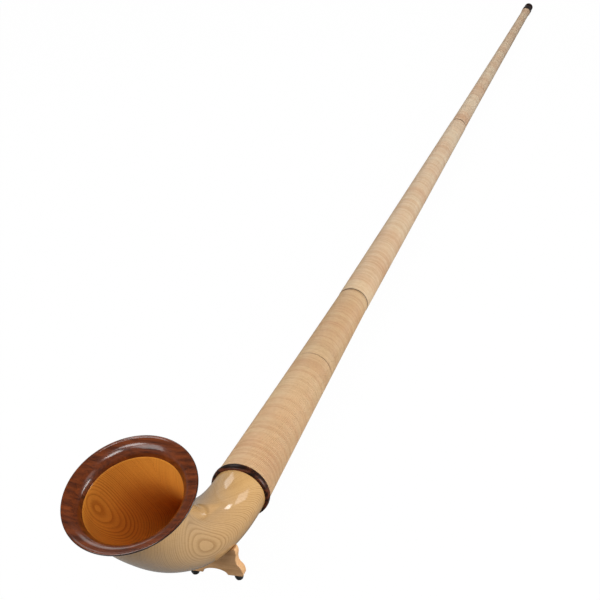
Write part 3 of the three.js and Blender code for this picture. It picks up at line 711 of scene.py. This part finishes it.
class ALPHORN_OT_windings(Operator):
    """Winds the flat cane round the tube, about seven hundred turns in four lengths"""
    bl_idname = "alphorn.windings"
    bl_label = "Cane windings"
    bl_options = {"REGISTER", "UNDO"}

    def execute(self, context):
        s = sizes()
        cane = rattan("peeled_rattan", s.cane_width)
        tree = winding_tree()
        for name, node, body, section, start, end, steps in (
                ("winding_lower", "bell_cane_lower", "bell_section", BELL_TUBE, 0.0, SPLICE, 64),
                ("winding_upper", "bell_cane_upper", "bell_section", BELL_TUBE, SPLICE, FIRST_JOINT, 56),
                ("winding_middle", "middle_cane", "middle_section", MIDDLE_TUBE, FIRST_JOINT, SECOND_JOINT, 44),
                ("winding_hand", "hand_cane", "hand_section", HAND_TUBE, SECOND_JOINT, MOUTH_END, 36)):
            winding = new_piece(name, [], [], [])
            values = dict(zip(("Section Start", "Section End", "Wide Radius", "Narrow Radius", "Draw In"), section))
            mesh = grow(winding, tree, {
                **values, "Start": start + CANE_SLACK, "End": end - CANE_SLACK,
                "Swell": SWELL if end == MOUTH_END else 0.0, "Cane Width": s.cane_width,
                "Cane Thickness": s.cane_thickness, "Steps": steps, "Material": cane})
            mesh.transform(WINDING)
            face_out(mesh)
            mesh.shade_smooth()
            lay_down(winding, body, "cane", node)
        return {"FINISHED"}


def even(line, count):
    """A fixed number of points along a line, so that rows of them join."""
    run = [0.0]
    for a, b in zip(line, line[1:]):
        run.append(run[-1] + dist(a, b))
    out = []
    for k in range(count):
        want = run[-1] * k / (count - 1)
        i = next(i for i in range(len(line) - 1) if run[i + 1] >= want - 1e-12)
        share = (want - run[i]) / max(run[i + 1] - run[i], 1e-9)
        out.append(tuple(a + (b - a) * share for a, b in zip(line[i], line[i + 1])))
    return out


def mirrored(line):
    """The same line on the other side of the middle, run through backwards."""
    return [(-y, z) for y, z in reversed(line)]


class ALPHORN_OT_foot_board(Operator):
    """Saws the foot board and cuts its saddle to the bell"""
    bl_idname = "alphorn.foot_board"
    bl_label = "Foot board"
    bl_options = {"REGISTER", "UNDO"}

    def execute(self, context):
        c, s = colours(), sizes()
        # Pear wood, light reddish brown with hardly any figure, 17 to 25 mm wide, satin varnish
        pear = figured_wood("satin_pear", c.pear, c.pear_dark, (40.0, 9.0, 60.0), 0.42, 0.35, 0.4, 0.8)
        low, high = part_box("foot_board")
        middle, floor, half = (low.x + high.x) / 2, low.z, (high.y - low.y) / 2
        # Height of the flanks, half the length of the sole, and the arch's half length and height
        tall, foot_end, arch_end, arch_top = 0.070, 0.0577, 0.027, 0.0135
        flank = [(0.93, 0), (0.93, 0), (0.98, 0.03), (1, 0.1), (0.995, 0.2), (0.965, 0.3), (0.88, 0.4), (0.84, 0.5),
                 (0.845, 0.63), (0.88, 0.75), (0.9, 0.86), (0.87, 1)]
        side = smooth([(half * a, floor + tall * b) for a, b in flank], 6)
        bell = bell_surface(90, 96, 0.0002)

        def seat(x, y):
            """Height of the bell's underside over a point of the board."""
            hit = bell.ray_cast(Vector((x, y, -0.1)), Vector((0, 0, 1)))[0]
            return hit.z if hit else 1.0

        base = [(arch_end + (foot_end - arch_end) * k / 8, floor) for k in range(1, 8)]
        arch = [(-arch_end * cos(a), floor + arch_top * sin(a)) for a in (pi * k / 40 for k in range(41))]
        # Rounded edges: each row of points lies a little further out than the one before
        edge, thick, steps = s.board_edge, s.board_thickness / 2, 6
        rows = [(-thick + edge * (1 - cos(a)), edge * (1 - sin(a)))
                for a in (pi / 2 * k / steps for k in range(steps + 1))]
        rows += [(-x, inset) for x, inset in reversed(rows)]
        verts = []
        for x, inset in rows:
            x += middle
            flank = [point for point in side if point[1] < seat(x, point[0])]
            crown = [flank[-1][0] * (1 - 2 * k / 40) for k in range(1, 40)]
            crown = [(y, min(seat(x, y), floor + tall)) for y in crown]
            loop = even(flank, 26) + crown + even(mirrored(flank), 26) + mirrored(base) + arch + base
            n = len(loop)
            for k in range(n):
                a, b, d = (Vector(loop[i % n]) for i in (k - 1, k, k + 1))
                come, go = (b - a).normalized(), (d - b).normalized()
                way = (come + go) / (1 + come.dot(go))
                verts.append(Vector((x, b.x - way.y * inset, b.y + way.x * inset)))
        faces = skin(len(rows), n)
        faces += [list(range(n)), list(range(len(verts) - n, len(verts)))]
        lay_down(new_piece("foot", verts, faces, [pear], 40.0), "bell_section", "foot_wood", "foot_board")
        return {"FINISHED"}


def feet_tree():
    """Geometry nodes that set a turned piece at two places across the horn."""
    tree, get = start_group("turned_feet", {"Centre": "Vector", "Spacing": FOOT_SPACING})
    offset = add(tree, JOIN, {"Y": get["Spacing"]})
    first = add(tree, VECTOR_MATH, (offset, (0.5, 0.5, 0.5)), "MULTIPLY")
    first = add(tree, VECTOR_MATH, (get["Centre"], first), "SUBTRACT")
    spots = add(tree, "GeometryNodeMeshLine", {"Count": 2, "Start Location": first, "Offset": offset})
    made = add(tree, "GeometryNodeInstanceOnPoints", {"Points": spots, "Instance": get["Geometry"]})
    return finish_group(tree, get, made)


class ALPHORN_OT_feet(Operator):
    """Puts the two rubber feet and their screws under the foot board"""
    bl_idname = "alphorn.feet"
    bl_label = "Rubber feet"
    bl_options = {"REGISTER", "UNDO"}

    def execute(self, context):
        # Moulded black rubber, and a plain steel screw in each recess
        rubber = moulded_rubber("moulded_rubber", colours().rubber)
        steel = turned_metal("plain_steel", linear("#A8A8AA"), 0.35)
        low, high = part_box("foot_rubber_left")
        x = (low.x + high.x) / 2
        # Radius and height of each turned profile, in millimetres
        foot = [(4.2, 0), (4.2, 0), (6.6, 0), (7.3, 0.6), (8.2, 3), (9, 5.6), (9, 10.4), (8.5, 11), (8.5, 11),
                (1.9, 11), (1.9, 11), (1.9, 5.5), (1.9, 5.5), (4.2, 5.5), (4.2, 5.5)]
        screw = [(0, 3.4), (0, 3.4), (2.4, 3.4), (3.2, 3.8), (3.4, 4.5), (3.4, 5.2), (3.4, 5.2), (1.6, 5.2),
                 (1.6, 5.2), (1.6, 22), (0, 23.3), (0, 23.3)]
        upright = Matrix.Rotation(-pi / 2, 4, "Y")
        tree = feet_tree()
        for name, points, material, slot, node in (
                ("rubber_feet", foot, rubber, "rubber", "foot_rubber"),
                ("foot_screws", screw, steel, "steel", "foot_screw")):
            profile = smooth([(r * MM, z * MM) for r, z in points], 4)
            made = lathe(name, profile, material, 40.0, 48, upright)
            grow(made, tree, {"Centre": (x, 0.0, 0.0), "Material": material})
            lay_down(made, "bell_section", slot, node + "_left", node + "_right")
        return {"FINISHED"}


class ALPHORN_OT_joints(Operator):
    """Turns the metal sleeves of the two joints and lays in their seal rings"""
    bl_idname = "alphorn.joints"
    bl_label = "Joint sleeves"
    bl_options = {"REGISTER", "UNDO"}

    def execute(self, context):
        # Aluminium, turned and left plain, and soft rubber rings in its grooves
        metal = turned_metal("turned_aluminium", linear("#C8CACC"), 0.3)
        seal = moulded_rubber("seal_rubber", colours().rubber)
        for section, below, above in ((BELL_TUBE, "bell", "middle"), (MIDDLE_TUBE, "middle", "hand")):
            socket, tenon = below + "_socket_sleeve", above + "_tenon_sleeve"
            end, bore = section[1], section[3] - WALL_STACK
            outer = bore + TENON_WALL
            inner = outer + SLIDE_GAP
            shell = inner + SOCKET_WALL
            start, stop = end - SOCKET_DEPTH, end - SLACK
            points = [(inner, start), (shell, start), (shell, stop), (inner + BROKEN_EDGE, stop),
                      (inner, stop - BROKEN_EDGE)]
            lay_down(lathe(socket + "_turned", points, metal, 30.0), below + "_section", "sleeve", socket)
            start, stop = end - TENON_DEPTH, end + TENON_ROOT
            floor = outer + SEAL_PROUD - 2 * SEAL_R - GROOVE_ROOM
            points = [(bore, start), (outer - BROKEN_EDGE, start), (outer, start + BROKEN_EDGE)]
            for middle in (start + spot for spot in SEAL_PLACES):
                front, back = middle - GROOVE_HALF, middle + GROOVE_HALF
                points += [(outer, front), (floor, front), (floor, back), (outer, back)]
            points += [(outer, stop), (bore, stop)]
            lay_down(lathe(tenon + "_turned", points, metal, 30.0), above + "_section", "sleeve", tenon)
            for name, spot in zip((above + "_seal_front", above + "_seal_back"), SEAL_PLACES):
                middle, centre = start + spot, outer + SEAL_PROUD - SEAL_R
                ring = [(centre + SEAL_R * cos(a), middle + SEAL_R * sin(a))
                        for a in (tau * k / 12 for k in range(12))]
                lay_down(lathe(name + "_ring", ring, seal, 60.0), above + "_section", "rubber", name)
        return {"FINISHED"}


class ALPHORN_OT_mouth_end(Operator):
    """Turns the ring round the mouth end and the mouthpiece in it"""
    bl_idname = "alphorn.mouth_end"
    bl_label = "Mouth end"
    bl_options = {"REGISTER", "UNDO"}

    def execute(self, context):
        # Nearly black turned hardwood, oiled, its streaks 17 mm wide and 83 mm long
        dark = figured_wood("oiled_blackwood", linear("#2E1610"), linear("#0E0706"), (12.0, 60.0, 60.0), 0.4, 0.2)
        start, reach, radius = MOUTH_END + SLACK, 0.029, 0.0168
        hole, seat, lip = 0.0070, 0.0149, 0.005
        end = MOUTH_END + reach - MOUTH_BACK
        shares = [(0.965, 0), (0.985, 0.05), (1, 0.22), (1, 0.5), (1, 0.86), (0.97, 0.95), (0.88, 1), (0.88, 1)]
        outside = [(radius * a, start + b * (reach - SLACK)) for a, b in shares]
        inside = [(hole, end), (hole, end), (hole, end - lip), (hole, end - lip), (seat, end - lip),
                  (seat, end - lip), (seat, start), (seat, start)]
        ring = lathe("mouth_ring", smooth(outside + inside, 5), dark, 50.0)
        lay_down(ring, "hand_section", "dark_walnut", "mouth_end_ring")
        # The mouthpiece: head, cup, and the shank that goes into the mouth end
        root, head, head_r, cup_r, cup_deep = end + 2 * SLACK, 0.033, 0.0156, 0.009, 0.020
        edge, tip = root + head, end - 0.046
        shares = [(0.86, 0), (0.86, 0), (0.9, 0.06), (0.87, 0.16), (0.84, 0.28), (0.86, 0.44), (0.92, 0.62),
                  (0.985, 0.77), (1, 0.88), (0.97, 0.96), (0.88, 1)]
        outside = [(head_r * a, root + b * head) for a, b in shares]
        cup = [(cup_r * a, edge - b * cup_deep) for a, b in ((1, 0.03), (0.93, 0.3), (0.72, 0.68), (0.4, 0.93))]
        rest = [(0.0024, edge - cup_deep), (0.0024, root), (0.0036, tip), (0.0036, tip), (0.0054, tip), (0.0054, tip),
                (0.0064, root), (0.0064, root)]
        piece = lathe("mouth_piece", smooth(outside + cup + rest, 5), dark, 50.0)
        lay_down(piece, "mouthpiece", "dark_walnut", "mouthpiece")
        return {"FINISHED"}


class ALPHORN_OT_core(Operator):
    """Gives the wooden tube under the cane its own bare wood"""
    bl_idname = "alphorn.core"
    bl_label = "Wood under the cane"
    bl_options = {"REGISTER", "UNDO"}

    def execute(self, context):
        c = colours()
        # Spruce left bare under the cane, seen only in a horn taken apart
        bare = spruce("bare_spruce", c.bare_spruce, c.spruce_line, 0.6, 0.6, 0.0, sizes().ring_spacing, TUBE_BOARD)
        for name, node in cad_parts.items():
            if "tube_half" in name:
                node.data.materials.clear()
                node.data.materials.append(bare)
        return {"FINISHED"}


def rays(tree):
    """Light Path's outputs, and the rays of gloss and glass together."""
    path = add(tree, "ShaderNodeLightPath").node.outputs
    return path, add(tree, MATH, (path["Is Glossy Ray"], path["Is Transmission Ray"]), "MAXIMUM")


class ALPHORN_OT_stage(Operator):
    """Sets up the pale floor, the lamps and the camera at the photograph's angle"""
    bl_idname = "alphorn.stage"
    bl_label = "Stage"
    bl_options = {"REGISTER", "UNDO"}

    def execute(self, context):
        scene = bpy.context.scene
        scene.view_settings.view_transform = "Standard"
        # The camera's axes, place and lens were fitted to the photograph's circles and edges
        camera = new_object("camera", bpy.data.cameras.new("camera"))
        right = Vector((0.323879, -0.93501, -0.144426))
        up = Vector((0.513188, 0.045375, 0.857076))
        back = Vector((-0.794821, -0.351707, 0.494532))
        turn = Matrix((right, up, back)).transposed().to_4x4()
        camera.matrix_world = Matrix.Translation((-3.29784, -1.0861, 1.79465)) @ turn
        camera.data.sensor_fit = "HORIZONTAL"
        camera.data.sensor_width = 36.0
        camera.data.lens = 81.393
        camera.data.clip_end = 100.0
        scene.camera = camera

        # Seen straight on, the floor is a white sweep. Gloss and glass show part of that over its own shade
        floor = new_piece("floor", [(-20, -20, 0), (20, -20, 0), (20, 20, 0), (-20, 20, 0)], [(0, 1, 2, 3)], [])
        floor.location.z = -0.0002
        material, tree = new_material("white_sweep")
        path, gloss = rays(tree)
        gloss = add(tree, MATH, (gloss, 0.05), "MULTIPLY")
        share = add(tree, MATH, (path["Is Camera Ray"], 0.94, gloss), "MULTIPLY_ADD")
        paint = add(tree, "ShaderNodeBsdfDiffuse", {"Color": colours().floor})
        glow = add(tree, "ShaderNodeEmission", {"Color": (1, 1, 1), "Strength": 1.05})
        both = add(tree, "ShaderNodeMixShader", (share, paint, glow))
        add(tree, "ShaderNodeOutputMaterial", {"Surface": both})
        floor.data.materials.append(material)

        # The white sweep also shows in gloss, up to where the studio's dim ceiling starts
        scene.world = scene.world or bpy.data.worlds.new("studio")
        tree = bare_tree(scene.world)
        path, gloss = rays(tree)
        way = add(tree, "ShaderNodeTexCoord").node.outputs["Generated"]
        height = add(tree, SPLIT, (way,)).node.outputs["Z"]
        sweep = add(tree, RANGE, (height, 0.0, 0.45, 0.4, 0.12))
        gloss = add(tree, MATH, (gloss, sweep), "MULTIPLY")
        level = add(tree, MATH, (path["Is Diffuse Ray"], 0.38), "MULTIPLY")
        for seen in (gloss, path["Is Camera Ray"]):
            level = add(tree, MATH, (level, seen), "MAXIMUM")
        air = add(tree, "ShaderNodeBackground", {"Color": (1, 1, 1), "Strength": level})
        add(tree, "ShaderNodeOutputWorld", {"Surface": air})

        # Soft lamps: name, place, what it aims at, size in metres and power in watts
        for name, spot, aim, size, power in (
                ("key", (-4.0, 1.6, 2.4), (-1.6, 0.0, 0.25), 1.9, 58.0),
                ("side", (-2.2, -3.2, 2.2), (-1.45, 0.0, 0.2), 1.4, 10.0),
                ("fill", (-3.3, -0.5, 2.5), (-1.6, 0.0, 0.3), 0.8, 27.0),
                ("overhead", (-2.9, 0.8, 3.1), (-1.7, 0.0, 0.3), 0.8, 24.0),
                ("window", (1.5, 1.05, 1.35), (-1.36, 0.0, 0.15), 0.9, 4.0),
                ("low_window", (0.95, -1.1, 0.4), (-1.36, 0.0, 0.15), 0.6, 1.5),
                ("low_strip", (-0.42, -0.25, 0.09), (-1.46, -0.045, 0.168), 0.1, 0.12),
                ("right", (-0.9, -3.0, 0.5), (-1.0, 0.0, 0.1), 1.6, 110.0),
                ("tube", (1.0, 1.7, 2.8), (0.7, 0.0, 0.05), 1.8, 28.0)):
            data = bpy.data.lights.new(name, "AREA")
            data.size, data.energy = size, power
            lamp = new_object(name, data)
            lamp.location = spot
            lamp.visible_camera = False
            lamp.rotation_euler = (Vector(aim) - Vector(spot)).to_track_quat("-Z", "Y").to_euler()
        return {"FINISHED"}


STEPS = (ALPHORN_OT_bell, ALPHORN_OT_rim, ALPHORN_OT_neck_ring, ALPHORN_OT_windings, ALPHORN_OT_foot_board,
         ALPHORN_OT_feet, ALPHORN_OT_joints, ALPHORN_OT_mouth_end, ALPHORN_OT_core, ALPHORN_OT_stage)


class ALPHORN_PT_panel(Panel):
    """Sizes and colours of the alphorn, and a button for each of its steps"""
    bl_label = "Alphorn"
    bl_idname = "ALPHORN_PT_panel"
    bl_space_type = "VIEW_3D"
    bl_region_type = "UI"
    bl_category = "Alphorn"

    def draw(self, context):
        column = self.layout.column(align=True)
        for group in (sizes(), colours()):
            for name in group.bl_rna.properties.keys():
                if name not in {"rna_type", "name"}:
                    column.prop(group, name)
        for step in STEPS:
            column.operator(step.bl_idname)


CLASSES = (AlphornSizes, AlphornColours, *STEPS, ALPHORN_PT_panel)


def register():
    for cls in CLASSES:
        bpy.utils.register_class(cls)
    bpy.types.Scene.alphorn_sizes = bpy.props.PointerProperty(type=AlphornSizes)
    bpy.types.Scene.alphorn_colours = bpy.props.PointerProperty(type=AlphornColours)


def unregister():
    del bpy.types.Scene.alphorn_colours
    del bpy.types.Scene.alphorn_sizes
    for cls in reversed(CLASSES):
        bpy.utils.unregister_class(cls)


def main():
    register()
    bpy.ops.alphorn.bell()
    bpy.ops.alphorn.rim()
    bpy.ops.alphorn.neck_ring()
    bpy.ops.alphorn.windings()
    bpy.ops.alphorn.foot_board()
    bpy.ops.alphorn.feet()
    bpy.ops.alphorn.joints()
    bpy.ops.alphorn.mouth_end()
    bpy.ops.alphorn.core()
    bpy.ops.alphorn.stage()


if __name__ == "__main__":
    main()
